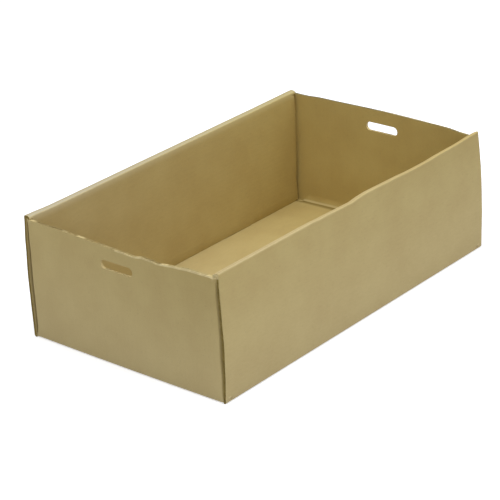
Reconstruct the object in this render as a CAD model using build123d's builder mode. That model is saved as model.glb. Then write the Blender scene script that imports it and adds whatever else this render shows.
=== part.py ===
from build123d import *
import os

# A corrugated board tray, die cut and folded from one sheet.
# Millimetres, +Z up, origin at the middle of the underside. The long walls stand at -Y and +Y.

# Overall sizes
length = 600.0              # along X, over the cut ends of the long walls
width = 365.0               # along Y, over the outer panels
height = 190.0              # to the crest of the rolled tops

# Board
board = 4.0                 # thickness of the sheet
fold_outside = 3.0          # radius over the outside of every fold
fold_inside = 0.5
ply_gap = 0.3               # between layers that lie against each other

# Rolled long walls
foot_lean = 3.4             # how much further in the inner panel stands at its foot
foot_rest = 0.3             # between the inner panel's foot and the base
panel_end_gap = 1.0         # between the inner panel's cut end and the end panel
roof_lip = 1.0              # stub of inner panel left under the rolled top beyond that end

# Ends and their corner flaps
end_inset = 1.0             # outer face of the end panel, in from the long walls' cut ends
flap_length = 110.0         # along the long wall, from the middle of the end panel
end_drop = 0.5              # end panel's top edge under the rolled top's stub
flap_lift = 4.0             # flap's lower edge above the base
flap_taper = 18.0           # slanted lower corner that lets the flap swing in
grip_length = 60.0          # hand slot, overall
grip_height = 14.0
grip_drop = 28.0            # from the end panel's top edge down to the slot's middle

# Tabs that lock the inner panels into the base
tab_width = 60.0
tab_pitch = 260.0
tab_gap = 0.6               # clearance all round a tab in its slot
tab_recess = 0.5            # tab's tip above the underside

# Bead of buckled board along the foot of each end, inside
bead_width = 5.5
bead_lean = 0.5             # its front edge leans back by this much
bead_front = 2.6            # height of the front edge
bead_back = 3.6             # height where it meets the end panel
bead_short = 11.0           # the bead stops this far from each inner panel

same_place = 0.01           # tolerance for picking edges by their place

# Middle of the board in every panel
ply_pitch = board + ply_gap
base_mid = board / 2
roof_mid = height - board / 2
outer_mid = width / 2 - board / 2
flap_mid = outer_mid - ply_pitch
inner_mid = flap_mid - ply_pitch
foot_mid = inner_mid - foot_lean
end_mid = length / 2 - end_inset - board / 2

# Edges that other panels have to clear
end_inside = end_mid - board / 2
lip_level = height - board - roof_lip
end_top = lip_level - end_drop
panel_half_run = end_inside - panel_end_gap
panel_foot = board + foot_rest
flap_foot = board + flap_lift
flap_face = flap_mid + board / 2
panel_face_foot = foot_mid - board / 2


def panel_line_at(level):
    """Point on the middle of the leaning inner panel, at a height above the ground."""
    share = (roof_mid - level) / (roof_mid - panel_foot)
    return (inner_mid - foot_lean * share, level)


def both_sides(points):
    """The points of one side, then the same points mirrored, as one open run."""
    return points + [(-across, up) for across, up in reversed(points)]


def round_folds(section, axis, insides, outsides):
    """Round the folds of a traced section, picked as rows of corners along an axis of its sketch."""
    for rows, radius in ((insides, fold_inside), (outsides, fold_outside)):
        levels = section.vertices().group_by(axis)
        fillet([corner for row in rows for corner in levels[row]], radius=radius)


with BuildPart() as tray_box:
    # Base, outer panels, rolled tops and inner panels are one bent section
    with BuildSketch(Plane.YZ) as wall_section:
        with BuildLine():
            inner_panel = [panel_line_at(panel_foot), (inner_mid, roof_mid)]
            outer_panel = [(outer_mid, roof_mid), (outer_mid, base_mid)]
            Polyline(*both_sides(inner_panel + outer_panel))
        trace(line_width=board)
        round_folds(wall_section, Axis.Y, insides=(1, -2), outsides=(0, -1))
    extrude(amount=length / 2, both=True)

    # At each end the base and the inner panels are cut back, and only the outer panels and tops run on
    corner_run = length / 2 - panel_half_run
    with BuildSketch(Plane.XY):
        with Locations((panel_half_run + corner_run / 2, 0), (-panel_half_run - corner_run / 2, 0)):
            Rectangle(corner_run, width - 2 * board)
    extrude(amount=lip_level, mode=Mode.SUBTRACT)

    # End panels rise from the base over a rounded fold
    with BuildSketch(Plane.XZ) as end_section:
        with BuildLine():
            Polyline(*both_sides([(end_mid, end_top), (end_mid, base_mid)]))
        trace(line_width=board)
        round_folds(end_section, Axis.Y, insides=(1,), outsides=(0,))
    extrude(amount=flap_face - fold_outside, both=True)

    # Below the flaps the end panels reach right up to the long walls
    with BuildSketch(Plane.XZ) as foot_section:
        with BuildLine():
            Polyline(*both_sides([(end_mid, flap_foot), (end_mid, base_mid)]))
        trace(line_width=board)
        round_folds(foot_section, Axis.Y, insides=(1,), outsides=(0,))
    extrude(amount=flap_face, both=True)

    # Corner flaps turn off the end panels and lie between the two layers of the long walls
    flap_tip = end_mid - flap_length
    for end, inside_row, outside_row in ((1, -2, -1), (-1, 1, 0)):
        with BuildSketch(Plane.XY.offset(flap_foot)) as flap_section:
            with BuildLine():
                flap_line = [(end * flap_tip, flap_mid), (end * end_mid, flap_mid)]
                Polyline(*flap_line, *[(along, -across) for along, across in reversed(flap_line)])
            trace(line_width=board)
            round_folds(flap_section, Axis.X, insides=(inside_row,), outsides=(outside_row,))
        extrude(amount=end_top - flap_foot)
    flap_corners = tray_box.edges().filter_by(Axis.Y).filter_by(
        lambda edge: abs(abs(edge.center().X) - flap_tip) < same_place
        and abs(edge.center().Z - flap_foot) < same_place
    )
    chamfer(flap_corners, length=flap_taper)

    # Slots in the base, and the tabs of the inner panels that drop into them
    with BuildSketch(Plane.XY):
        with GridLocations(tab_pitch, 2 * foot_mid, 2, 2):
            Rectangle(tab_width + 2 * tab_gap, board + 2 * tab_gap)
    extrude(amount=board, mode=Mode.SUBTRACT)
    for tab_place in (-tab_pitch / 2, tab_pitch / 2):
        with BuildSketch(Plane.YZ.offset(tab_place)):
            for side in (1, -1):
                with BuildLine():
                    upper, lower = panel_line_at(panel_foot + board), panel_line_at(tab_recess)
                    Line((side * upper[0], upper[1]), (side * lower[0], lower[1]))
                trace(line_width=board)
        extrude(amount=tab_width / 2, both=True)

    # Hand slots through both ends
    with BuildSketch(Plane.YZ):
        with Locations((0, end_top - grip_drop)):
            SlotOverall(grip_length, grip_height)
    extrude(amount=length / 2, both=True, mode=Mode.SUBTRACT)

    # Inside each end fold the board buckles into a low bead with a steep front edge
    with BuildSketch(Plane.XZ):
        with BuildLine():
            bead_start = end_inside - bead_width
            Polyline(
                (end_inside, board),
                (bead_start, board),
                (bead_start + bead_lean, board + bead_front),
                (end_inside, board + bead_back),
                close=True,
            )
        make_face()
        mirror(about=Plane.YZ)
    extrude(amount=panel_face_foot - bead_short, both=True)

tray_box.part.label = "tray_box"

os.makedirs("parts", exist_ok=True)
export_step(tray_box.part, "parts/tray_box.step")
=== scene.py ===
import math

import bmesh
import bpy
from mathutils import Matrix, Vector, noise


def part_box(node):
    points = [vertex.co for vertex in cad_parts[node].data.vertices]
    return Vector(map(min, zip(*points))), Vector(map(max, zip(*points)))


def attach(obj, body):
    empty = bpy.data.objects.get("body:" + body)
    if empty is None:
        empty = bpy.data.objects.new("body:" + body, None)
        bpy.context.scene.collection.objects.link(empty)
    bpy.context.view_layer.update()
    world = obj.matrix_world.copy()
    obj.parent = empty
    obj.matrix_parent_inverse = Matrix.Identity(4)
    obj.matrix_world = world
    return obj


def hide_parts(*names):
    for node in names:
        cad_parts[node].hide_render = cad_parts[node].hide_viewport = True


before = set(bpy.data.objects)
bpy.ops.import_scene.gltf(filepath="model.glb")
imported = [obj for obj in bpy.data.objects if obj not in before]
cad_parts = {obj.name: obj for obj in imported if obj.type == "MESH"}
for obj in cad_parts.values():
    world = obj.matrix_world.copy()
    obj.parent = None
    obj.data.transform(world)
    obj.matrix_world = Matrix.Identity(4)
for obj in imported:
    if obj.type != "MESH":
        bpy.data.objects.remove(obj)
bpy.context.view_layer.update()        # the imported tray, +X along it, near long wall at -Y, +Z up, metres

scene = bpy.context.scene
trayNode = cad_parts["tray_box"]
trayLow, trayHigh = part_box("tray_box")
print("tray frame loaded", [round(v, 4) for v in (*trayLow, *trayHigh)])


# Sizes of the folded board, as the frame has them
board = {
    "thickness": 0.004,
    "bendMid": 0.0018,          # radius of a fold at the middle of the board
    "foldOutside": 0.003,
    "layerPitch": 0.0043,       # middle to middle of two layers that lie together
    "footLean": 0.0034,         # inner panel, further in at its foot
    "footRest": 0.0003,
    "endInset": 0.001,
    "panelEndGap": 0.001,
    "lipDrop": 0.005,           # stub of inner panel under the rolled top, below the crest
    "endTopDrop": 0.0055,       # end panel's top edge, below the crest
    "gripLength": 0.060,
    "gripHeight": 0.014,
    "gripDrop": 0.028,
    "flapLength": 0.110,
    "flapFoot": 0.008,          # height of the flaps' lower edge
    "beadWidth": 0.0055,
    "beadHeight": 0.0026,
    "beadShort": 0.020,         # the bead ends this far from the flaps
}
millimetre = 0.001
same = 0.0001                   # slack of a comparison of two places
halfBoard = board["thickness"] / 2
foldOutside = board["foldOutside"]
outerMid = trayHigh.y - halfBoard
innerMid = outerMid - 2 * board["layerPitch"]
wallDepth = trayHigh.y - (innerMid - halfBoard)
pastOuter = board["thickness"] * 1.02       # depth just behind a long wall's outer layer
flapDepth = board["thickness"] + board["layerPitch"]
roofMid = trayHigh.z - halfBoard
lipLevel = trayHigh.z - board["lipDrop"]
endMid = trayHigh.x - board["endInset"] - halfBoard
endInside = endMid - halfBoard
endTop = trayHigh.z - board["endTopDrop"]
panelRun = endInside - board["panelEndGap"]
gripLevel = endTop - board["gripDrop"]
flapFace = outerMid - board["layerPitch"] + halfBoard
flapTip = endMid - board["flapLength"]
beadFront = endInside - board["beadWidth"]


# Camera
cameraPlace = {
    "focalPixels": 2008.2,      # in a frame 500 pixels wide
    "frameWidth": 500,
    "sensor": 36.0,
    "azimuth": -47.6307,
    "elevation": 24.5648,
    "roll": -4.1700,
    "distance": 2.94068,
    "aimHeight": 0.095,
    "aimRight": -0.01710,
    "aimUp": -0.02754,
    "nearest": 0.05,
    "farthest": 60,
}


def setCamera(place):
    azimuth, elevation, roll = (math.radians(place[name]) for name in ("azimuth", "elevation", "roll"))
    back = Vector((
        math.sin(azimuth) * math.cos(elevation),
        -math.cos(azimuth) * math.cos(elevation),
        math.sin(elevation),
    ))
    level = Vector((math.cos(azimuth), math.sin(azimuth), 0))
    upright = back.cross(level)
    right = level * math.cos(roll) + upright * math.sin(roll)
    up = upright * math.cos(roll) - level * math.sin(roll)
    target = Vector((0, 0, place["aimHeight"])) + right * place["aimRight"] + up * place["aimUp"]
    lens = bpy.data.cameras.new("studioCamera")
    lens.sensor_width = place["sensor"]
    lens.lens = place["focalPixels"] / place["frameWidth"] * place["sensor"]
    lens.clip_start = place["nearest"]
    lens.clip_end = place["farthest"]
    camera = bpy.data.objects.new("studioCamera", lens)
    turn = Matrix((right, up, back)).transposed().to_4x4()
    camera.matrix_world = Matrix.Translation(target + back * place["distance"]) @ turn
    scene.collection.objects.link(camera)
    scene.camera = camera


setCamera(cameraPlace)
print("camera set")


# How the folded board has settled: shifts are in millimetres, inwards or down from the flat panels
# Each run of pairs is a height as a share of the tray's, then the shift along X there
endsIn = {
    "near": {
        "frontWall": ((0, 2.4), (0.2, 6.3), (0.44, 8.6), (0.66, 7.8), (0.88, 7.0), (1, 7.8)),
        "front": ((0, 1.6), (0.2, 5.6), (0.45, 7.2), (0.7, 6.6), (0.88, 6.4), (1, 8.4)),
        "middle": ((0, 0.0), (1, 0.0)),
        "back": ((0, 0.9), (0.2, 0.2), (0.5, 0.6), (0.75, 3.0), (1, 5.6)),
        "backWall": ((0, 0.3), (0.2, 0.0), (0.5, 0.5), (0.75, 2.9), (1, 6.0)),
    },
    "far": {
        "frontWall": (
            (0, 4.8), (0.05, 3.9), (0.18, 1.8), (0.29, 0.3), (0.55, 0.0), (0.66, 0.8), (0.8, 2.8), (1, 6.2),
        ),
        "front": ((0, 5.0), (0.3, 3.0), (0.6, 0.8), (0.8, 1.6), (1, 5.6)),
        "middle": ((0, 11.0), (0.25, 7.5), (0.6, 2.5), (1, 0.0)),
        "back": ((0, 14.0), (0.17, 13.0), (0.33, 8.4), (0.5, 5.6), (0.65, 3.4), (0.85, 1.0), (1, 0.8)),
        "backWall": ((0, 8.0), (0.5, 6.0), (1, 6.8)),
    },
    # The inner panels' cut ends stand back
    "innerNear": ((0, 0.8), (0.3, 4.0), (0.8, 3.0), (1, 0.0)),
    "innerFar": ((0, 0.8), (0.3, 5.2), (0.6, 6.4), (1, 3.4)),
    # The ends' upright folds stand clear of the long walls' outer layer, this time along Y
    "frontGap": ((0, 0.0), (0.12, 1.5), (0.4, 2.8), (0.62, 1.4), (0.86, 2.0), (1, 0.0)),
    "backGap": ((0, 0.0), (0.12, 2.6), (0.35, 3.4), (0.6, 4.0), (0.86, 2.2), (1, 0.0)),
}
# Dents of the near wall's top: a place along X in metres, then the shift down, or up if negative
crestDents = (
    (-0.105, 0.0), (-0.082, 1.0), (-0.036, 1.6), (-0.012, 2.3), (0.018, -0.8), (0.030, -1.2), (0.060, -0.6),
    (0.100, 0.0), (0.130, 1.3), (0.170, 1.1), (0.195, 0.0), (0.245, 0.0), (0.290, -1.4),
)
# And of the near end's cut top edge, with places along Y
topDents = (
    (-0.170, 0.0), (-0.162, -1.8), (-0.131, -2.1), (-0.108, 0.4), (-0.092, 2.2), (-0.078, 5.0), (-0.064, 1.7),
    (-0.048, 0.6), (-0.035, 4.4), (-0.014, 1.5), (0.012, 1.2), (0.030, 0.0), (0.060, -1.5), (0.105, -1.7),
    (0.142, 0.0),
)
# A hold is a power of the height: the higher it is, the closer to the top its shift stays
settled = {
    "endReach": 0.13,           # length of long wall that follows its end
    "wallReach": 0.05,          # width of end panel that follows a long wall
    "innerReach": 0.03,         # length of inner panel that is pulled back with its cut end
    "outerLayer": 0.004,        # depth of the layer that the walls' cut ends belong to
    "roofFrom": 0.2,            # share of the step up to the rolled top where that top takes over
    "roofRamp": 1.5,
    "panelWave": 0.9,           # slow unevenness of the long walls
    "panelWaveScale": 7.0,
    "panelWaveApart": 3.0,      # so that the two walls differ
    "panelWaveRamp": 6.0,       # it fades out towards the ground
    "backIn": 1.2,              # far long wall's top, towards the middle
    "backDrop": 2.6,
    "backCorner": 0.3,          # share of that drop at its near corner
    "backDropFade": 0.05,
    "pinch": 0.17,              # the layers of a long wall are pressed together at the top
    "pinchHold": 4,
    "crestDip": 2.4,            # sag of the near long wall's top
    "crestDipAt": 0.17,
    "crestDipSpan": 0.17,
    "roofTilt": 2.8,            # the near wall's rolled top falls towards the inside
    "roofTiltFar": 1.6,         # more so towards the far end
    "crestHold": 6,
    "nearEndDrop": 1.3,         # near end's top edge, lowered by handling
    "nearEndReach": 0.045,
    "nearBackShare": 0.85,      # share of that drop that is missing towards the far long wall
    "nearBackFrom": 0.085,
    "nearBackReach": 0.06,
    "farEndDrop": 1.3,          # the far end's top falls a little towards both walls
    "farEndLevel": 0.075,
    "farEndReach": 0.02,
    "endDropHold": 3,
    "nearGripDrop": 1.6,        # the board round the near hand slot is pulled down
    "gripSpread": 0.05,
    "gripRise": 0.025,
    "dentHold": 16,
    "edgeNick": 0.5,            # crushed places along the cut top edges
    "edgeNickScale": 38.0,
    "edgeNickApart": 9.0,       # so that the two ends differ
    "edgeNickFrom": 0.3,        # they start at this share of a long wall's depth
    "edgeNickHold": 8,
    "foldWidth": 0.0060,        # width of end panel that bends with its upright fold
    "foldReach": 0.06,          # length of flap that bends with it
    "foldRound": 0.4,
    "flapSqueeze": 0.5,         # share of the gap that the inside of the fold doesn't follow
    "squareAbove": 0.92,        # share of the height above which the folds are pressed square
    "squareRamp": 25,
    "foldLift": 1.3,            # under the rolled tops the folds reach up to the underside
    "foldLiftSlack": 0.0012,
    "foldLiftPast": 0.0007,
    "foldLiftFade": 0.0015,
    "beadUndercut": 1.3,        # the bead's front edge hangs over its own foot
    "beadSwell": 1.2,           # and it swells towards the middle of the end
    "beadRoot": 0.0008,         # only what lies this far above the base swells
    "beadTaperFrom": 0.08,
    "beadTaperReach": 0.07,
}


def ease(share):
    share = min(max(share, 0.0), 1.0)
    return share * share * (3 - 2 * share)


def nearly(value, target, slack=0.00015):
    return abs(value - target) < slack


def shiftAt(run, place):
    for (low, lowShift), (high, highShift) in zip(run, run[1:]):
        if place <= high:
            return lowShift + (highShift - lowShift) * ease((place - low) / (high - low))
    return run[-1][1]


def endHold(x, end):
    # Rises towards one end, the far one if end is 1 and the near one if it is -1
    return ease((end * x - (trayHigh.x - settled["endReach"])) / settled["endReach"])


def endBack(runs, rise, y, outer):
    # Shift of an end at a height and a place across it; outer is 1 in the long walls' outer layer
    side = "back" if y > 0 else "front"
    cornerHold = (y / trayHigh.y) ** 2
    middle = shiftAt(runs["middle"], rise)
    panel = middle + (shiftAt(runs[side], rise) - middle) * cornerHold
    return panel + (shiftAt(runs[side + "Wall"], rise) - panel) * outer


def endsShift(x, y, z, rise, depth):
    layer = ease(2 - depth / settled["outerLayer"])
    roof = ease(((z - endTop) / (lipLevel - endTop) - settled["roofFrom"]) * settled["roofRamp"])
    outer = max(layer, roof) * ease(2 + (wallDepth - depth) / settled["outerLayer"])
    near = endBack(endsIn["near"], rise, y, outer) * endHold(x, -1)
    far = endBack(endsIn["far"], rise, y, outer) * endHold(x, 1)
    return near - far


def innerEndShift(x, z, rise, depth):
    inPanel = wallDepth - board["thickness"] - 2 * same < depth < wallDepth + board["footLean"]
    inside = abs(x) < panelRun + same and z > board["thickness"] + board["footRest"] / 2
    if not inPanel or not inside:
        return 0.0
    follow = ease(1 - (panelRun - abs(x)) / settled["innerReach"])
    return -math.copysign(shiftAt(endsIn["innerFar" if x > 0 else "innerNear"], rise) * follow, x)


def beadShift(x, y, z):
    # Undercut of the bead's foot along X, and its swell upwards
    if not beadFront - 5 * same < abs(x) < endInside + same:
        return 0.0, 0.0
    back = up = 0.0
    if nearly(z, board["thickness"]) and nearly(abs(x), beadFront):
        back = math.copysign(settled["beadUndercut"], x)
    onSwell = board["thickness"] + settled["beadRoot"] < z < board["flapFoot"]
    if onSwell and abs(y) < flapFace - board["beadShort"]:
        taper = ease((abs(y) - settled["beadTaperFrom"]) / settled["beadTaperReach"])
        up = settled["beadSwell"] * (1 - taper)
    return back, up


def wallShift(x, side, z, rise, depth):
    # A long wall's waves, the far wall's lean, and the pinch of the layers
    waveAt = Vector((x, side * settled["panelWaveApart"], z)) * settled["panelWaveScale"]
    inwards = settled["panelWave"] * (0.5 + 0.5 * noise.noise(waveAt)) * ease(rise * settled["panelWaveRamp"])
    if side > 0:
        inwards += settled["backIn"] * rise * rise * (1 - endHold(x, 1))
    return inwards - settled["pinch"] * min(depth, wallDepth) / millimetre * rise ** settled["pinchHold"]


def wallDrop(x, side, rise, depth):
    # The far wall's top falls; the near one sags, is dented and tilts
    if side > 0:
        corner = settled["backCorner"]
        share = corner + (1 - corner) * ease((x + trayHigh.x) / settled["backDropFade"])
        return settled["backDrop"] * rise * rise * share
    sag = settled["crestDip"] * math.exp(-((x - settled["crestDipAt"]) / settled["crestDipSpan"]) ** 2)
    tilt = settled["roofTilt"] + settled["roofTiltFar"] * ease(x / trayHigh.x)
    crest = shiftAt(crestDents, x) + tilt * min(depth / wallDepth, 1.0)
    return sag * rise * rise + crest * rise ** settled["crestHold"]


def endDrop(x, y, z, rise, depth):
    # The near end's top edge is lowered and dented, and the far one falls towards both walls
    if abs(x) <= panelRun:
        return 0.0
    fromWall = depth - wallDepth
    if x < 0:
        share = 1 - settled["nearBackShare"] * ease((y - settled["nearBackFrom"]) / settled["nearBackReach"])
        down = settled["nearEndDrop"] * share * ease(fromWall / settled["nearEndReach"])
    else:
        share = 1 - math.exp(-(y / settled["farEndLevel"]) ** 2)
        down = settled["farEndDrop"] * share * ease(fromWall / settled["farEndReach"])
    down *= rise ** settled["endDropHold"]
    if x < 0:
        fromGrip = (y / settled["gripSpread"]) ** 2 + ((z - gripLevel) / settled["gripRise"]) ** 2
        down += settled["nearGripDrop"] * math.exp(-fromGrip)
        down += shiftAt(topDents, y) * rise ** settled["dentHold"]
    if depth > wallDepth * settled["edgeNickFrom"]:
        nickAt = Vector((0.0 if x < 0 else settled["edgeNickApart"], y, 0.0)) * settled["edgeNickScale"]
        down += settled["edgeNick"] * abs(noise.noise(nickAt)) * rise ** settled["edgeNickHold"]
    return down


def foldShift(x, y, z, rise, depth):
    # Along X, then inwards: the upright folds stand clear of the outer layer, and the flaps follow
    if abs(x) <= flapTip or not pastOuter < depth < wallDepth + settled["foldWidth"]:
        return 0.0, 0.0
    isFlap = depth < flapDepth + same and board["flapFoot"] - 4 * same < z < endTop + 2 * same
    if not isFlap and abs(x) <= panelRun + board["panelEndGap"] / 2:
        return 0.0, 0.0
    foldPlace = flapFace - foldOutside - settled["foldWidth"]
    across = ease((abs(y) - foldPlace) / (settled["foldWidth"] + foldOutside * settled["foldRound"]))
    along = ease(1 - (endMid - abs(x)) / settled["foldReach"])
    follow = 1 - settled["flapSqueeze"] * ease((depth - board["layerPitch"]) / board["thickness"])
    inwards = shiftAt(endsIn["backGap" if y > 0 else "frontGap"], rise) * follow * across * along
    fromEnd = endMid + halfBoard - abs(x)
    if not isFlap or not 0 < fromEnd < foldOutside:
        return 0.0, inwards
    square = ease((rise - settled["squareAbove"]) * settled["squareRamp"])
    return math.copysign(fromEnd / millimetre * square, x), inwards


def foldRise(z, depth):
    if not nearly(z, endTop, settled["foldLiftSlack"]) or not pastOuter < depth < wallDepth:
        return 0.0
    return settled["foldLift"] * ease((flapDepth + settled["foldLiftPast"] - depth) / settled["foldLiftFade"])


def settlePoint(point):
    x, y, z = point
    side = 1 if y > 0 else -1
    rise = min(max(z, 0.0) / trayHigh.z, 1.0)
    depth = trayHigh.y - abs(y)             # in from the outer face of the long wall on this side
    wallHold = ease(1 - (depth - wallDepth) / settled["wallReach"])
    beadBack, beadUp = beadShift(x, y, z)
    foldBack, foldIn = foldShift(x, y, z, rise, depth)
    alongX = endsShift(x, y, z, rise, depth) + innerEndShift(x, z, rise, depth) + beadBack + foldBack
    inwards = wallShift(x, side, z, rise, depth) * wallHold + foldIn
    down = wallDrop(x, side, rise, depth) * wallHold + endDrop(x, y, z, rise, depth)
    down -= beadUp + foldRise(z, depth)
    return Vector((x + alongX * millimetre, y - side * inwards * millimetre, z - down * millimetre))


# Node helpers
def addNode(tree, kind, inputs=None, **settings):
    # Settings come first, since some choose the sockets; an input takes a value or a link
    node = tree.nodes.new(kind)
    for name, value in settings.items():
        setattr(node, name, value)
    for slot, value in (inputs or {}).items():
        if isinstance(value, bpy.types.NodeSocket):
            tree.links.new(value, node.inputs[slot])
        else:
            node.inputs[slot].default_value = value
    return node


def mathNode(tree, operation, *values):
    return addNode(tree, "ShaderNodeMath", dict(enumerate(values)), operation=operation).outputs[0]


def multiply(tree, first, *others):
    for other in others:
        first = mathNode(tree, "MULTIPLY", first, other)
    return first


def larger(tree, first, *others):
    for other in others:
        first = mathNode(tree, "MAXIMUM", first, other)
    return first


def mapRange(tree, value, low, high, newLow, newHigh):
    names = ("Value", "From Min", "From Max", "To Min", "To Max")
    inputs = dict(zip(names, (value, low, high, newLow, newHigh)))
    return addNode(tree, "ShaderNodeMapRange", inputs).outputs["Result"]


def axesOf(tree, vector):
    return addNode(tree, "ShaderNodeSeparateXYZ", {0: vector}).outputs


def mixColours(tree, factor, first, second, blend="MIX"):
    inputs = {"Factor": factor, 6: first, 7: second}
    return addNode(tree, "ShaderNodeMix", inputs, data_type="RGBA", blend_type=blend).outputs[2]


def tinted(tree, mask, colour, tint):
    return mixColours(tree, mask, colour, mixColours(tree, 1.0, colour, tint, "MULTIPLY"))


def shaded(tree, colour, value, span, contrast):
    value = mapRange(tree, value, *span, 1 - contrast, 1 + contrast)
    grey = addNode(tree, "ShaderNodeCombineColor", {0: value, 1: value, 2: value}).outputs[0]
    return mixColours(tree, 1.0, colour, grey, "MULTIPLY")


def painted(tree, mask, strength, colour, paint):
    return mixColours(tree, multiply(tree, mask, strength), colour, paint)


def readAttribute(tree, name):
    return addNode(tree, "ShaderNodeAttribute", attribute_name=name).outputs["Vector"]


def bumpFrom(tree, height, distance, normal=None):
    inputs = {"Distance": distance, "Height": height}
    if normal:
        inputs["Normal"] = normal
    return addNode(tree, "ShaderNodeBump", inputs).outputs["Normal"]


# Shader groups that several finishes share
def newGroup(name, inputs):
    # An input without a value is a vector
    tree = bpy.data.node_groups.new(name, "ShaderNodeTree")
    for title, value in inputs.items():
        kind = "NodeSocketVector" if value is None else "NodeSocketFloat"
        socket = tree.interface.new_socket(title, in_out="INPUT", socket_type=kind)
        if value is not None:
            socket.default_value = value
    return tree, addNode(tree, "NodeGroupInput").outputs


def endGroup(tree, outputs):
    # Every output is a value from 0 to 1
    for title in outputs:
        tree.interface.new_socket(title, in_out="OUTPUT", socket_type="NodeSocketFloat")
    addNode(tree, "NodeGroupOutput", outputs)
    return tree


def useGroup(tree, group, vector, **values):
    return addNode(tree, "ShaderNodeGroup", {"Vector": vector, **values}, node_tree=group)


# Unbleached paper
paper = {
    "mottleSize": 0.06,
    "fibreSize": 0.0016,
    "fibreStretch": (0.22, 1.0, 1.0),   # fibres lie along the machine direction
    "fleckShare": 0.55,                 # flecks are larger than fibres
    "mottleSpan": (0.35, 0.65),         # values of each noise that take its full contrast
    "fibreSpan": (0.3, 0.7),
    "fleckSpan": (0.68, 0.76),
    "fluteRidge": 0.0078,               # pitch of the flutes that press through the liner
    "wallFacing": 0.7,                  # share of a normal along Y that makes a panel a long wall
}


def makePaperGrain():
    sizes = {"Mottle Size": paper["mottleSize"], "Fibre Size": paper["fibreSize"]}
    tree, entry = newGroup("paperGrain", {"Vector": None, **sizes})
    place = entry["Vector"]
    mottleScale = mathNode(tree, "DIVIDE", 1.0, entry["Mottle Size"])
    fibreScale = mathNode(tree, "DIVIDE", 1.0, entry["Fibre Size"])
    fleckScale = multiply(tree, fibreScale, paper["fleckShare"])
    stretch = addNode(tree, "ShaderNodeMapping", {"Vector": place, "Scale": paper["fibreStretch"]})

    def noiseOf(vector, scale, **values):
        inputs = {"Vector": vector, "Scale": scale, **values}
        return addNode(tree, "ShaderNodeTexNoise", inputs).outputs["Fac"]

    mottle = noiseOf(place, mottleScale, Detail=4.0, Roughness=0.55)
    fibre = noiseOf(stretch.outputs["Vector"], fibreScale, Detail=3.0, Roughness=0.65, Distortion=0.8)
    fleck = noiseOf(place, fleckScale, Detail=1.0)
    fleck = mapRange(tree, fleck, *paper["fleckSpan"], 0.0, 1.0)
    return endGroup(tree, {"Mottle": mottle, "Fibre": fibre, "Fleck": fleck})


def makeFluteWash():
    # Faint washboard where the flutes press through: across Z on the long walls, across Y elsewhere
    tree, entry = newGroup("fluteWash", {"Vector": None, "Wall Normal": None, "Pitch": paper["fluteRidge"]})
    axes = axesOf(tree, entry["Vector"])
    facing = mathNode(tree, "ABSOLUTE", axesOf(tree, entry["Wall Normal"])["Y"])
    isLongWall = mathNode(tree, "GREATER_THAN", facing, paper["wallFacing"])
    acrossZ = multiply(tree, axes["Z"], isLongWall)
    acrossY = multiply(tree, axes["Y"], mathNode(tree, "SUBTRACT", 1.0, isLongWall))
    turns = mathNode(tree, "DIVIDE", mathNode(tree, "ADD", acrossZ, acrossY), entry["Pitch"])
    wave = mathNode(tree, "SINE", multiply(tree, turns, 2 * math.pi))
    return endGroup(tree, {"Height": mapRange(tree, wave, -1.0, 1.0, 0.0, 1.0)})


# Where folding and handling left their marks, and where light and shade are painted; a pair is a place at 0
# and one at full strength
marks = {
    "roofRubAndHighlight": 0.35,                   # on the flat of the rolled tops: rub and painted highlight
    "roofDepth": 0.0008,
    "shoulderFade": (1.0, 0.15),        # of the shoulder's height, below the crest
    "shoulderCurve": 1.4,
    "innerFade": (1.0, 0.3),
    "beadEdge": (0.0002, 0.0010),       # behind the bead's front
    "beadPast": 0.0003,
    "beadRim": (0.0008, 0.0),           # below its top
    "beadOver": 0.0016,
    "creaseFrom": 0.0010,               # behind its front
    "creaseRim": (0.0002, 0.0008),
    "creaseFade": (1.0, 0.2),
    "foldTurn": (0.0022, 0.0004),       # in from the flap's face
    "foldShade": 0.6,
    "flapPast": 0.0002,
    "skin": 0.0005,                     # depth of the outermost paper
    "darkerTopY": (0.08, -0.15),           # on the near end
    "darkerTopZ": (0.03, 0.15),
    "wallDarkerTop": 0.55,                 # strength on the near long wall
    "wallDarkerTopX": (-0.10, 0.20),
    "wallDarkerTopZ": (0.07, 0.17),
    "farness": (-0.20, 0.25),
}


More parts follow.
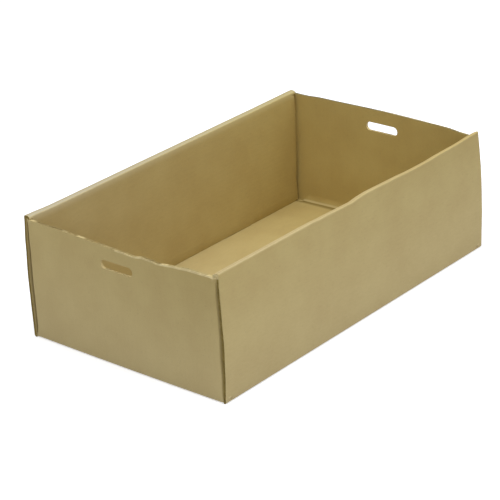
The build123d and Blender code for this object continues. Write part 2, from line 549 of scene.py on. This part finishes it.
def makeWearAndPaintedLight():
    # Masks from 0 to 1 over the flat form, for the liner's colours: real wear, and painted light and shade
    tree, entry = newGroup("wearAndPaintedLight", {
        "Vector": None, "Half Length": trayHigh.x - board["endInset"], "Half Width": trayHigh.y,
        "Height": trayHigh.z, "Reach": 0.0029, "Wall Depth": wallDepth, "Shoulder": 0.014,
        "Bead Width": board["beadWidth"], "Bead Height": board["thickness"] + board["beadHeight"],
        "Base Top": board["thickness"], "Crease Reach": 0.0055, "Flap Face": flapFace,
    })

    def ramp(value, pair, strength=1.0):
        return mapRange(tree, value, *pair, 0.0, strength)

    def minus(first, second):
        return mathNode(tree, "SUBTRACT", first, second)

    def share(value, whole):
        return mathNode(tree, "DIVIDE", value, whole)

    def below(value, limit):
        return mathNode(tree, "LESS_THAN", value, limit)

    def above(value, limit):
        return mathNode(tree, "GREATER_THAN", value, limit)

    axes = axesOf(tree, entry["Vector"])
    acrossFlat = mathNode(tree, "ABSOLUTE", axes["Y"])
    fromEnd = minus(entry["Half Length"], mathNode(tree, "ABSOLUTE", axes["X"]))
    fromSide = minus(entry["Half Width"], acrossFlat)
    fromTop = minus(entry["Height"], axes["Z"])
    fromGround = axes["Z"]

    # The outsides of the folds are rubbed: top and foot of the long walls, and foot of the ends; at the
    # rolled tops this is also a painted highlight
    wearAndLight = [
        ramp(share(mathNode(tree, "ADD", first, second), entry["Reach"]), (1.0, 0.0))
        for first, second in ((fromSide, fromTop), (fromSide, fromGround), (fromEnd, fromGround))
    ]
    roof = below(fromTop, marks["roofDepth"])
    wearAndLight = larger(tree, *wearAndLight, multiply(tree, roof, marks["roofRubAndHighlight"]))
    farTopGrey = multiply(tree, roof, above(axes["Y"], 0.0))

    # Painted highlight: the inner panels are paler below the rolled tops
    fromInner = mathNode(tree, "ABSOLUTE", minus(fromSide, entry["Wall Depth"]))
    fall = ramp(share(fromTop, entry["Shoulder"]), marks["shoulderFade"])
    inner = ramp(share(fromInner, entry["Reach"]), marks["innerFade"])
    shoulder = multiply(tree, mathNode(tree, "POWER", fall, marks["shoulderCurve"]), inner)

    # Painted highlight on the bead's top, and painted shade on its front and on the base before it
    intoBead = minus(fromEnd, entry["Base Top"])
    besideBead = minus(intoBead, entry["Bead Width"])
    belowEdge = minus(entry["Bead Height"], fromGround)
    onWidth = multiply(tree, ramp(intoBead, marks["beadEdge"]), below(besideBead, marks["beadPast"]))
    onTop = multiply(tree, ramp(belowEdge, marks["beadRim"]), above(belowEdge, -marks["beadOver"]))
    bead = multiply(tree, onWidth, onTop)
    inFront = multiply(tree, above(besideBead, -marks["creaseFrom"]), ramp(belowEdge, marks["creaseRim"]))
    fade = ramp(share(besideBead, entry["Crease Reach"]), marks["creaseFade"])
    onBase = above(fromGround, minus(entry["Base Top"], marks["skin"]))
    beadShade = multiply(tree, inFront, fade, onBase)

    # Painted shade too where the upright folds turn in behind the long walls' cut ends
    turnedIn = ramp(minus(entry["Flap Face"], acrossFlat), marks["foldTurn"], marks["foldShade"])
    onFlap = below(acrossFlat, mathNode(tree, "ADD", entry["Flap Face"], marks["flapPast"]))
    creaseShade = larger(tree, beadShade, multiply(tree, turnedIn, onFlap))

    # Painted glow of the white floor: the outside of the panels is paler towards the ground
    outside = larger(tree, below(fromEnd, marks["skin"]), below(fromSide, marks["skin"]))
    groundGlow = multiply(tree, share(fromTop, entry["Height"]), outside)

    # Painted shade on the near end's outside around one top corner; the near long wall is darker at its far
    # top
    darkerTop = below(axes["X"], minus(marks["skin"], entry["Half Length"]))
    darkerTop = multiply(tree, darkerTop, ramp(axes["Y"], marks["darkerTopY"]), ramp(axes["Z"], marks["darkerTopZ"]))
    wallDarkerTop = below(axes["Y"], minus(marks["skin"], entry["Half Width"]))
    wallDarkerTop = multiply(
        tree, wallDarkerTop, ramp(axes["X"], marks["wallDarkerTopX"], marks["wallDarkerTop"]),
        ramp(axes["Z"], marks["wallDarkerTopZ"]))
    onFloor = below(fromGround, mathNode(tree, "ADD", entry["Base Top"], marks["skin"]))
    return endGroup(tree, {
        "WearAndHighlight": wearAndLight, "Far Top Grey": farTopGrey, "Shoulder": shoulder, "Bead": bead, "Crease Shade": creaseShade, "Ground Glow": groundGlow,
        "Darker Tops": larger(tree, darkerTop, wallDarkerTop), "Floor": multiply(tree, onBase, onFloor),
        "Within": minus(1.0, outside), "Farness": ramp(axes["X"], marks["farness"]),
    })


paperGrain = makePaperGrain()
fluteWash = makeFluteWash()
wearAndPaintedLight = makeWearAndPaintedLight()


# Kraft liner
liner = {
    "deep": (0.462, 0.348, 0.130, 1),
    "pale": (0.496, 0.384, 0.149, 1),
    "fleck": (0.300, 0.225, 0.100, 1),
    "fleckStrength": 0.25,
    "rubbedAndLit": (0.640, 0.560, 0.380, 1),       # stretched liner along the folds, and a painted highlight along the rolled tops
    "rubAndHighlight": 0.46,
    # painted shade at the bead's foot and in the upright folds
    "creaseShade": (0.280, 0.195, 0.045, 1),
    "creaseDepth": 0.85,
    # painted glow of the white floor
    "groundGlowTint": (0.600, 0.570, 0.500, 1),
    "groundGlow": 0.12,
    "shoulderHighlight": (0.680, 0.600, 0.350, 1),        # painted highlight towards the rolled tops, on the inside
    "shoulderLift": 0.50,
    "farTopGreyTone": (0.400, 0.390, 0.290, 1),        # greyer tone on the far rolled top
    "farTopGrey": 0.45,
    "darkerTop": (0.880, 0.870, 0.820, 1),       # tint of the painted shade on the near end, and of the near long wall's darker top
    "floor": (0.970, 0.990, 1.080, 1),        # painted light: tint of the base, inside
    "insideNear": (1.030, 1.050, 1.200, 1),   # painted bounce light: tints of the inside, browner towards the far end
    "insideFar": (1.020, 1.000, 0.860, 1),
    # painted highlight on the bead's top
    "beadTop": (0.700, 0.580, 0.290, 1),
    "beadHighlight": 0.42,
    "strand": 0.035,            # contrast of the fibres
    "ridge": 0.004,             # contrast of the flute wash
    "roughness": 0.86,
    "roughnessSpread": 0.06,
    "rubAndLightSpan": (0.3, 0.6),      # values of the fibres that break up the rubbed places, the painted crest highlight and the painted ground glow
    "glossSpan": (0.2, 0.8),    # and that change the roughness
    "specular": 0.5,
    "washDepth": 0.00003,
    "grainDepth": 0.00002,
}


def newPaper(name, specular):
    material = bpy.data.materials.new(name)
    material.use_nodes = True
    tree = material.node_tree
    shader = tree.nodes["Principled BSDF"]
    shader.inputs["Specular IOR Level"].default_value = specular
    return material, tree, shader.inputs


def makeKraftLiner():
    material, tree, shader = newPaper("kraftLiner", liner["specular"])
    place = readAttribute(tree, "flatPlace")
    grain = useGroup(tree, paperGrain, place).outputs
    wash = useGroup(tree, fluteWash, place, **{"Wall Normal": readAttribute(tree, "panelNormal")}).outputs
    wearAndLight = useGroup(tree, wearAndPaintedLight, place).outputs

    cloud = mapRange(tree, grain["Mottle"], *paper["mottleSpan"], 0.0, 1.0)
    colour = mixColours(tree, cloud, liner["deep"], liner["pale"])
    colour = shaded(tree, colour, grain["Fibre"], paper["fibreSpan"], liner["strand"])
    colour = shaded(tree, colour, wash["Height"], (0.0, 1.0), liner["ridge"])
    colour = painted(tree, grain["Fleck"], liner["fleckStrength"], colour, liner["fleck"])
    broken = mapRange(tree, grain["Fibre"], *liner["rubAndLightSpan"], liner["rubAndHighlight"] / 2, liner["rubAndHighlight"])
    # rub, and along the rolled tops a painted highlight
    colour = painted(tree, wearAndLight["WearAndHighlight"], broken, colour, liner["rubbedAndLit"])
    # painted highlight below the rolled tops, inside
    colour = painted(tree, wearAndLight["Shoulder"], liner["shoulderLift"], colour, liner["shoulderHighlight"])
    # greyer on the far rolled top
    colour = painted(tree, wearAndLight["Far Top Grey"], liner["farTopGrey"], colour, liner["farTopGreyTone"])
    # painted bounce light inside, browner towards the far end
    inside = mixColours(tree, wearAndLight["Farness"], liner["insideNear"], liner["insideFar"])
    colour = tinted(tree, wearAndLight["Within"], colour, inside)
    # painted highlight on the bead's top
    colour = painted(tree, wearAndLight["Bead"], liner["beadHighlight"], colour, liner["beadTop"])
    # painted shade in the creases and at the bead's foot
    colour = painted(tree, wearAndLight["Crease Shade"], liner["creaseDepth"], colour, liner["creaseShade"])
    # painted glow of the white floor, paler towards the ground
    groundGlow = multiply(tree, broken, liner["groundGlow"] / liner["rubAndHighlight"])
    colour = painted(tree, wearAndLight["Ground Glow"], groundGlow, colour, liner["groundGlowTint"])
    # painted shade at the near end's top corner; the near long wall darker at its far top
    colour = tinted(tree, wearAndLight["Darker Tops"], colour, liner["darkerTop"])
    # painted light: the base inside a little bluer
    colour = tinted(tree, wearAndLight["Floor"], colour, liner["floor"])
    tree.links.new(colour, shader["Base Color"])
    ends = (liner["roughness"] + side * liner["roughnessSpread"] for side in (-1, 1))
    tree.links.new(mapRange(tree, grain["Fibre"], *liner["glossSpan"], *ends), shader["Roughness"])
    washed = bumpFrom(tree, wash["Height"], liner["washDepth"])
    tree.links.new(bumpFrom(tree, grain["Fibre"], liner["grainDepth"], washed), shader["Normal"])
    return material


# Raw cut edges: the rims of the two liners, the hollow between them and the flute paper
cutEdge = {
    "rim": (0.350, 0.262, 0.088, 1),
    "greyRim": (0.250, 0.215, 0.100, 1),
    "hollow": (0.310, 0.228, 0.066, 1),       # deep between the flutes, painted a little darker as shade
    "flute": (0.330, 0.246, 0.080, 1),
    "topRim": (0.350, 0.270, 0.115, 1),
    "topHollow": (0.335, 0.258, 0.108, 1),    # shallow, where the flutes are crushed shut, so painted less dark
    "topFlute": (0.350, 0.270, 0.115, 1),
    # pale: a painted highlight on the hand slots' cut edges; the near wall's roof ends take it too
    "gripRim": (0.600, 0.485, 0.235, 1),
    "torn": (0.740, 0.625, 0.330, 1),         # pale fibres where a top edge is knocked
    "tornShare": 0.8,
    "tearSize": 0.030,
    "tearSpan": (0.54, 0.62),
    "tearShare": 0.3,
    "cornerTear": (0.154, 0.162),             # torn beyond this, on both sides
    "cornerEnd": 0.1705,
    "mottle": 0.15,
    "mottleSize": 0.012,
    "fibreSize": 0.0006,
    "fibreDepth": 0.00005,
    "roughness": 0.92,
    "specular": 0.15,
}
# Knocked places of the near top edge: middle along Y, half length, strength
knocks = (
    (0.066, 0.010, 1.0), (0.098, 0.007, 0.5), (-0.042, 0.005, 0.6),
    (-0.089, 0.009, 1.0), (-0.135, 0.050, 0.5),
)


def tornPlaces(tree, place):
    # Torn by chance, at the corners and where the edge was knocked
    tears = useGroup(tree, paperGrain, place, **{"Mottle Size": cutEdge["tearSize"]}).outputs["Mottle"]
    most = cutEdge["tornShare"]
    torn = mapRange(tree, tears, *cutEdge["tearSpan"], 0.0, most * cutEdge["tearShare"])
    across = axesOf(tree, place)["Y"]
    acrossFlat = mathNode(tree, "ABSOLUTE", across)
    corner = mapRange(tree, acrossFlat, *cutEdge["cornerTear"], 0.0, most)
    corner = multiply(tree, corner, mathNode(tree, "LESS_THAN", acrossFlat, cutEdge["cornerEnd"]))
    torn = larger(tree, torn, corner)
    for middle, halfLength, strength in knocks:
        away = mathNode(tree, "ABSOLUTE", mathNode(tree, "SUBTRACT", across, middle))
        torn = larger(tree, torn, mapRange(tree, away, halfLength, halfLength / 2, 0.0, most * strength))
    return torn


def makeEdgePaper(name, isTop):
    material, tree, shader = newPaper(name, cutEdge["specular"])
    shader["Roughness"].default_value = cutEdge["roughness"]
    place = readAttribute(tree, "flatPlace")
    sizes = {"Mottle Size": cutEdge["mottleSize"], "Fibre Size": cutEdge["fibreSize"]}
    grain = useGroup(tree, paperGrain, place, **sizes).outputs
    colour = shaded(tree, cutEdge[name], grain["Mottle"], paper["mottleSpan"], cutEdge["mottle"])
    if isTop:
        colour = mixColours(tree, tornPlaces(tree, place), colour, cutEdge["torn"])
    tree.links.new(colour, shader["Base Color"])
    tree.links.new(bumpFrom(tree, grain["Fibre"], cutEdge["fibreDepth"]), shader["Normal"])
    return material


kraftLiner = makeKraftLiner()
edgePapers = {name: makeEdgePaper(name, False) for name in ("rim", "hollow", "flute", "greyRim")}
edgePapers |= {name: makeEdgePaper(name, True) for name in ("topRim", "topHollow", "topFlute", "gripRim")}
print("paper finishes made")


# The board itself: a copy of the frame's solid, its cut edges hollowed and its panels settled
carving = {
    "linerPaper": 0.0005,       # thickness of one liner at a cut edge
    "wallEndDepth": 0.0014,
    "roofEndDepth": 0.0003,     # the rolled tops' ends are crushed nearly shut
    "roofEndFade": 0.012,
    "topDepth": 0.0006,
    "gripDepth": 0.0005,
    "gridStep": 0.018,          # size of the facets that the panels are divided into
    "topStep": 0.005,           # and along the near end's dented top edge
    "topStrip": 0.018,          # below the crest
    "cornerCuts": (0.0020, 0.0040, 0.0060),     # finer cuts beside the end panels' upright folds
    "shoulderCuts": (0.004, 0.008, 0.013),      # and under the rolled tops
    "cutSlack": 0.00001,
    "facing": 0.99,             # share of a normal along an axis that counts as facing it
    "innerEndReach": 0.012,     # an inner panel's cut end lies within this of its middle
    "mergeDistance": 0.000002,
    "flatAngle": 0.4,           # the solid's facets are joined where they meet flatter than this
    "sharpAngle": 32,
}
boardFinishes = ("liner", "rim", "hollow", "topRim", "topHollow", "gripRim", "greyRim")


def cutKind(face):
    # Which cut edge a face of the flat solid is, or None for liner
    centre, normal = face.calc_center_median(), face.normal
    facesEnd = abs(normal.x) > carving["facing"]
    if facesEnd and nearly(abs(centre.x), trayHigh.x):
        return "wallEnd"
    if facesEnd and nearly(abs(centre.x), panelRun) and abs(centre.y) > innerMid - carving["innerEndReach"]:
        return "panelEnd"
    if normal.z > carving["facing"] and nearly(centre.z, endTop):
        return "nearTop" if centre.x < 0 else "farTop"
    inBoard = abs(abs(centre.x) - endMid) < halfBoard - 2 * same
    inLength = abs(centre.y) < board["gripLength"] / 2 + same
    inHeight = abs(centre.z - gripLevel) < board["gripHeight"] / 2 + same
    if inBoard and inLength and inHeight and not facesEnd:
        return "gripFlat" if abs(normal.z) > carving["facing"] else "gripRound"
    if facesEnd and nearly(abs(centre.x), flapTip):
        return "flapEnd"
    return None


def paintFace(face, finish):
    face.material_index = boardFinishes.index(finish)


def carveCutEdges(mesh):
    hollowed = {
        "wallEnd": (carving["wallEndDepth"], "rim", "hollow"),
        "nearTop": (carving["topDepth"], "topRim", "topHollow"),
        "farTop": (carving["topDepth"], "greyRim", "greyRim"),
        "gripFlat": (carving["gripDepth"], "gripRim", "gripRim"),
    }
    groups = [(face, cutKind(face)) for face in mesh.faces]
    for face, kind in groups:
        if kind:
            paintFace(face, "gripRim" if kind == "gripRound" else "rim")
    for face, kind in groups:
        if kind not in hollowed:
            continue
        depth, rim, hollow = hollowed[kind]
        paintFace(face, rim)
        normal = face.normal.copy()
        bmesh.ops.inset_individual(mesh, faces=[face], thickness=carving["linerPaper"], use_even_offset=False)
        dropped = bmesh.ops.extrude_discrete_faces(mesh, faces=[face])["faces"][0]
        bmesh.ops.translate(mesh, verts=dropped.verts, vec=-normal * depth)
        for edge in dropped.edges:
            for wall in edge.link_faces:
                paintFace(wall, hollow)


def levelsAlong(axis, gap):
    low, high = trayLow[axis], trayHigh[axis]
    steps = int((high - low) / gap)
    return [low + (high - low) * step / steps for step in range(1, steps)]


def cutAcross(mesh, geometry, axis, level):
    normal = Vector([1.0 if slot == axis else 0.0 for slot in range(3)])
    cut = bmesh.ops.bisect_plane(
        mesh, geom=geometry, plane_co=normal * level, plane_no=normal, dist=carving["cutSlack"])
    return cut["geom"]


def divideIntoFacets(mesh):
    for axis in range(3):
        levels = levelsAlong(axis, carving["gridStep"])
        if axis == 1:
            folds = [flapFace - foldOutside - cut for cut in carving["cornerCuts"]]
            levels += [side * fold for fold in folds for side in (1, -1)]
        if axis == 2:
            levels += [trayHigh.z - cut for cut in carving["shoulderCuts"]]
        for level in levels:
            cutAcross(mesh, mesh.verts[:] + mesh.edges[:] + mesh.faces[:], axis, level)
    strip = []
    for face in mesh.faces:
        centre = face.calc_center_median()
        if centre.x < -panelRun and centre.z > trayHigh.z - carving["topStrip"]:
            strip += [face, *face.edges, *face.verts]
    for level in levelsAlong(1, carving["topStep"]):
        strip = cutAcross(mesh, list(dict.fromkeys(strip)), 1, level)


def shutRoofEnds(mesh):
    # At the near wall's ends the hollow gets shallow towards the rolled top, whose end is paler
    hollowFloor = trayHigh.x - carving["wallEndDepth"]
    lift = carving["wallEndDepth"] - carving["roofEndDepth"]
    for vert in mesh.verts:
        inWall = trayHigh.y - abs(vert.co.y) < board["thickness"] or vert.co.z > lipLevel
        if inWall and vert.co.y < 0 and nearly(abs(vert.co.x), hollowFloor):
            share = ease((vert.co.z - (roofMid - carving["roofEndFade"])) / carving["roofEndFade"])
            vert.co.x += math.copysign(lift * share, vert.co.x)
    for face in mesh.faces:
        centre = face.calc_center_median()
        if centre.y < 0 and centre.z > lipLevel - board["lipDrop"] and abs(centre.x) > hollowFloor - same:
            paintFace(face, "gripRim")


def finishMesh(name, data):
    # Normals are weighted by facet size, so a flat panel stays flat up to its folds
    piece = bpy.data.objects.new(name, data)
    scene.collection.objects.link(piece)
    weighting = piece.modifiers.new("weighting", "WEIGHTED_NORMAL")
    weighting.keep_sharp = True
    depsgraph = bpy.context.evaluated_depsgraph_get()
    finished = bpy.data.meshes.new_from_object(
        piece.evaluated_get(depsgraph), preserve_all_data_layers=True, depsgraph=depsgraph)
    piece.modifiers.remove(weighting)
    piece.data = finished
    bpy.data.meshes.remove(data)
    finished.name = name
    return piece


def makeBoard():
    data = trayNode.data.copy()
    data.materials.clear()
    for finish in boardFinishes:
        data.materials.append(kraftLiner if finish == "liner" else edgePapers[finish])
    mesh = bmesh.new()
    mesh.from_mesh(data)
    bmesh.ops.remove_doubles(mesh, verts=mesh.verts[:], dist=carving["mergeDistance"])
    flat = math.radians(carving["flatAngle"])
    bmesh.ops.dissolve_limit(mesh, angle_limit=flat, verts=mesh.verts[:], edges=mesh.edges[:])
    for face in mesh.faces:
        paintFace(face, "liner")
    carveCutEdges(mesh)
    divideIntoFacets(mesh)
    shutRoofEnds(mesh)
    bmesh.ops.triangulate(mesh, faces=mesh.faces[:])
    mesh.normal_update()
    # Place and panel direction are kept from the flat form, before the board settles
    placeLayer = mesh.verts.layers.float_vector.new("flatPlace")
    normalLayer = mesh.verts.layers.float_vector.new("panelNormal")
    for vert in mesh.verts:
        vert[placeLayer] = vert.co
        facing = sum((face.normal * face.calc_area() for face in vert.link_faces), Vector())
        vert[normalLayer] = facing.normalized()
        vert.co = settlePoint(vert.co)
    mesh.normal_update()
    mesh.to_mesh(data)
    mesh.free()
    data.shade_smooth()
    data.set_sharp_from_angle(angle=math.radians(carving["sharpAngle"]))
    return finishMesh("trayBoard", data)


trayBoard = makeBoard()
print("board carved and settled", len(trayBoard.data.polygons), "facets")


# Flute paper that shows along the cut edges
flutes = {
    "pitch": 0.0078,
    "height": 0.0029,           # crest to crest across the board
    "paper": 0.0003,
    "pointsPerWave": 12,
    "weldDistance": 0.000005,
    "sharpAngle": 50,
}
fluteFinishes = ("flute", "topFlute")


def makeFluteTree():
    tree = bpy.data.node_groups.new("fluteRibbon", "GeometryNodeTree")
    sockets = {
        "Geometry": "Geometry", "Pitch": "Float", "Height": "Float", "Paper": "Float", "Point Gap": "Float",
        "Inwards": "Vector", "Finish": "Material",
    }
    for title, kind in sockets.items():
        tree.interface.new_socket(title, in_out="INPUT", socket_type="NodeSocket" + kind)
    tree.interface.new_socket("Geometry", in_out="OUTPUT", socket_type="NodeSocketGeometry")
    entry = addNode(tree, "NodeGroupInput").outputs

    def geometryNode(kind, slot, previous, inputs=None, **settings):
        return addNode(tree, "GeometryNode" + kind, {slot: previous, **(inputs or {})}, **settings).outputs[0]

    def vectorNode(operation, *values):
        inputs = dict(enumerate(values))
        return addNode(tree, "ShaderNodeVectorMath", inputs, operation=operation).outputs[0]

    # Each point moves across the board by a sine of its distance along the edge
    travel = addNode(tree, "GeometryNodeSplineParameter").outputs["Length"]
    turn = multiply(tree, mathNode(tree, "DIVIDE", travel, entry["Pitch"]), 2 * math.pi)
    swing = multiply(tree, mathNode(tree, "SINE", turn), multiply(tree, entry["Height"], 0.5))
    tangent = addNode(tree, "GeometryNodeInputTangent").outputs[0]
    across = vectorNode("NORMALIZE", vectorNode("CROSS_PRODUCT", tangent, entry["Inwards"]))
    shift = addNode(tree, "ShaderNodeVectorMath", {0: across, "Scale": swing}, operation="SCALE").outputs[0]
    gap = {"Length": entry["Point Gap"]}
    points = geometryNode("ResampleCurve", "Curve", entry["Geometry"], gap, mode="LENGTH")
    points = geometryNode("SetPosition", "Geometry", points, {"Offset": shift})
    wave = geometryNode("CurveToMesh", "Curve", points)
    # The wave is drawn inwards into a ribbon, and the ribbon gets the thickness of the paper
    ribbon = geometryNode("ExtrudeMesh", "Mesh", wave, {"Offset": entry["Inwards"]}, mode="EDGES")
    thick = {"Offset Scale": entry["Paper"], "Individual": False}
    front = geometryNode("ExtrudeMesh", "Mesh", ribbon, thick, mode="FACES")
    back = geometryNode("FlipFaces", "Mesh", ribbon)
    joined = addNode(tree, "GeometryNodeJoinGeometry")
    for half in (back, front):
        tree.links.new(half, joined.inputs["Geometry"])
    weld = {"Distance": flutes["weldDistance"]}
    joined = geometryNode("MergeByDistance", "Geometry", joined.outputs[0], weld)
    joined = geometryNode("RealizeInstances", "Geometry", joined)
    joined = geometryNode("SetMaterial", "Geometry", joined, {"Material": entry["Finish"]})
    addNode(tree, "NodeGroupOutput", {"Geometry": joined})
    return tree


fluteTree = makeFluteTree()


def flutePaths():
    # Middle line of each cut edge, the way into the board from it, and its finish
    paths = []
    topSpan = outerMid - board["layerPitch"] - board["bendMid"]
    gripSpan = (board["gripLength"] - board["gripHeight"]) / 2
    for end in (1, -1):
        wallEnd, panel = trayHigh.x * end, endMid * end
        intoWall = Vector((-end * carving["wallEndDepth"], 0, 0))
        for side in (1, -1):
            foot = Vector((wallEnd, side * outerMid, halfBoard))
            top = Vector((wallEnd, side * outerMid, roofMid - carving["roofEndFade"]))
            paths.append((foot, top, intoWall, "flute"))
        intoTop = Vector((0, 0, -carving["topDepth"]))
        start, stop = (Vector((panel, side * topSpan, endTop)) for side in (-1, 1))
        paths.append((start, stop, intoTop, "topFlute" if end < 0 else "flute"))
        for up in (1, -1):
            level = gripLevel + up * board["gripHeight"] / 2
            intoGrip = Vector((0, 0, up * carving["gripDepth"]))
            start, stop = (Vector((panel, side * gripSpan, level)) for side in (-1, 1))
            paths.append((start, stop, intoGrip, "topFlute"))
    return paths


def fluteRibbon(start, stop, inwards, finish):
    curve = bpy.data.curves.new("flutePath", "CURVE")
    curve.dimensions = "3D"
    spline = curve.splines.new("POLY")
    spline.points.add(1)
    for place, point in zip(spline.points, (start, stop)):
        place.co = (*point, 1)
    guide = bpy.data.objects.new("flutePath", curve)
    scene.collection.objects.link(guide)
    modifier = guide.modifiers.new("fluteRibbon", "NODES")
    modifier.node_group = fluteTree
    values = {
        "Pitch": flutes["pitch"], "Height": flutes["height"], "Paper": flutes["paper"],
        "Point Gap": flutes["pitch"] / flutes["pointsPerWave"], "Inwards": tuple(inwards),
        "Finish": edgePapers[finish],
    }
    for item in fluteTree.interface.items_tree:
        if item.name in values:
            modifier[item.identifier] = values[item.name]
    depsgraph = bpy.context.evaluated_depsgraph_get()
    mesh = bpy.data.meshes.new_from_object(guide.evaluated_get(depsgraph))
    bpy.data.objects.remove(guide)
    bpy.data.curves.remove(curve)
    return mesh


def makeFlutes():
    joined = bmesh.new()
    for start, stop, inwards, finish in flutePaths():
        ribbon = fluteRibbon(start, stop, inwards, finish)
        before = len(joined.faces)
        joined.from_mesh(ribbon)
        joined.faces.ensure_lookup_table()
        for face in joined.faces[before:]:
            face.material_index = fluteFinishes.index(finish)
        bpy.data.meshes.remove(ribbon)
    placeLayer = joined.verts.layers.float_vector.new("flatPlace")
    for vert in joined.verts:
        vert[placeLayer] = vert.co
        vert.co = settlePoint(vert.co)
    bmesh.ops.recalc_face_normals(joined, faces=joined.faces[:])
    data = bpy.data.meshes.new("trayFlutes")
    joined.to_mesh(data)
    joined.free()
    for finish in fluteFinishes:
        data.materials.append(edgePapers[finish])
    data.shade_smooth()
    data.set_sharp_from_angle(angle=math.radians(flutes["sharpAngle"]))
    piece = bpy.data.objects.new("trayFlutes", data)
    scene.collection.objects.link(piece)
    return piece


trayFlutes = makeFlutes()
print("flute paper laid", len(trayFlutes.data.polygons), "facets")

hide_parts("tray_box")
for piece in (trayBoard, trayFlutes):
    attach(piece, "root")


# Studio
studio = {
    "floorSize": 14.0,
    "floorDrop": 0.0002,
    "floorColour": (0.83, 0.86, 0.97, 1),
    "floorLift": 0.42,          # extra light of the floor where it is seen directly
    "floorLiftColour": (1.0, 0.98, 0.90, 1),
    "skyColour": (1.0, 1.0, 1.0, 1),
    "skyStrength": 0.45,
    "skySeen": 1.0,             # strength of the sky where it is seen directly
    "lampAim": (0, 0, 0.05),
}
softboxes = {
    "keySoftbox": {"place": (-1.5, -2.3, 1.5), "size": 1.8, "power": 9, "colour": (0.90, 0.94, 1.0)},
    "topSoftbox": {"place": (-0.2, -0.1, 2.6), "size": 1.8, "power": 41, "colour": (1.0, 1.0, 1.0)},
    "sideSoftbox": {"place": (1.4, -0.9, 2.2), "size": 1.8, "power": 14.5, "colour": (1.0, 1.0, 1.0)},
}


def chooseSeen(tree, unseen, seen):
    # The second shader for the camera's rays and for what they meet mirrored or through glass
    rays = addNode(tree, "ShaderNodeLightPath").outputs
    direct = larger(tree, rays["Is Camera Ray"], rays["Is Glossy Ray"], rays["Is Transmission Ray"])
    return addNode(tree, "ShaderNodeMixShader", {0: direct, 1: unseen, 2: seen}).outputs[0]


def makeFloor():
    size, level = studio["floorSize"], -studio["floorDrop"]
    corners = [(-size, -size, level), (size, -size, level), (size, size, level), (-size, size, level)]
    data = bpy.data.meshes.new("studioFloor")
    data.from_pydata(corners, [], [(0, 1, 2, 3)])
    floor = bpy.data.objects.new("studioFloor", data)
    scene.collection.objects.link(floor)
    material = bpy.data.materials.new("studioFloor")
    material.use_nodes = True
    tree = material.node_tree
    tree.nodes.clear()
    paint = addNode(tree, "ShaderNodeBsdfDiffuse", {"Color": studio["floorColour"]}).outputs[0]
    glow = {"Color": studio["floorLiftColour"], "Strength": studio["floorLift"]}
    lift = addNode(tree, "ShaderNodeEmission", glow).outputs[0]
    brighter = addNode(tree, "ShaderNodeAddShader", {0: paint, 1: lift}).outputs[0]
    addNode(tree, "ShaderNodeOutputMaterial", {"Surface": chooseSeen(tree, paint, brighter)})
    data.materials.append(material)


def makeSky():
    world = bpy.data.worlds.new("studioSky")
    scene.world = world
    world.use_nodes = True
    tree = world.node_tree
    tree.nodes.clear()
    sky = {"Color": studio["skyColour"], "Strength": studio["skyStrength"]}
    light = addNode(tree, "ShaderNodeBackground", sky).outputs[0]
    plain = addNode(tree, "ShaderNodeBackground", {"Strength": studio["skySeen"]}).outputs[0]
    addNode(tree, "ShaderNodeOutputWorld", {"Surface": chooseSeen(tree, light, plain)})


def addSoftbox(name, place, size, power, colour):
    lamp = bpy.data.lights.new(name, "AREA")
    lamp.shape = "SQUARE"
    lamp.size = size
    lamp.energy = power
    lamp.color = colour
    holder = bpy.data.objects.new(name, lamp)
    aim = Vector(studio["lampAim"]) - Vector(place)
    holder.matrix_world = Matrix.Translation(place) @ aim.to_track_quat("-Z", "Y").to_matrix().to_4x4()
    scene.collection.objects.link(holder)


makeFloor()
makeSky()
for name, values in softboxes.items():
    addSoftbox(name, **values)
scene.view_settings.view_transform = "Standard"
print("studio lit")
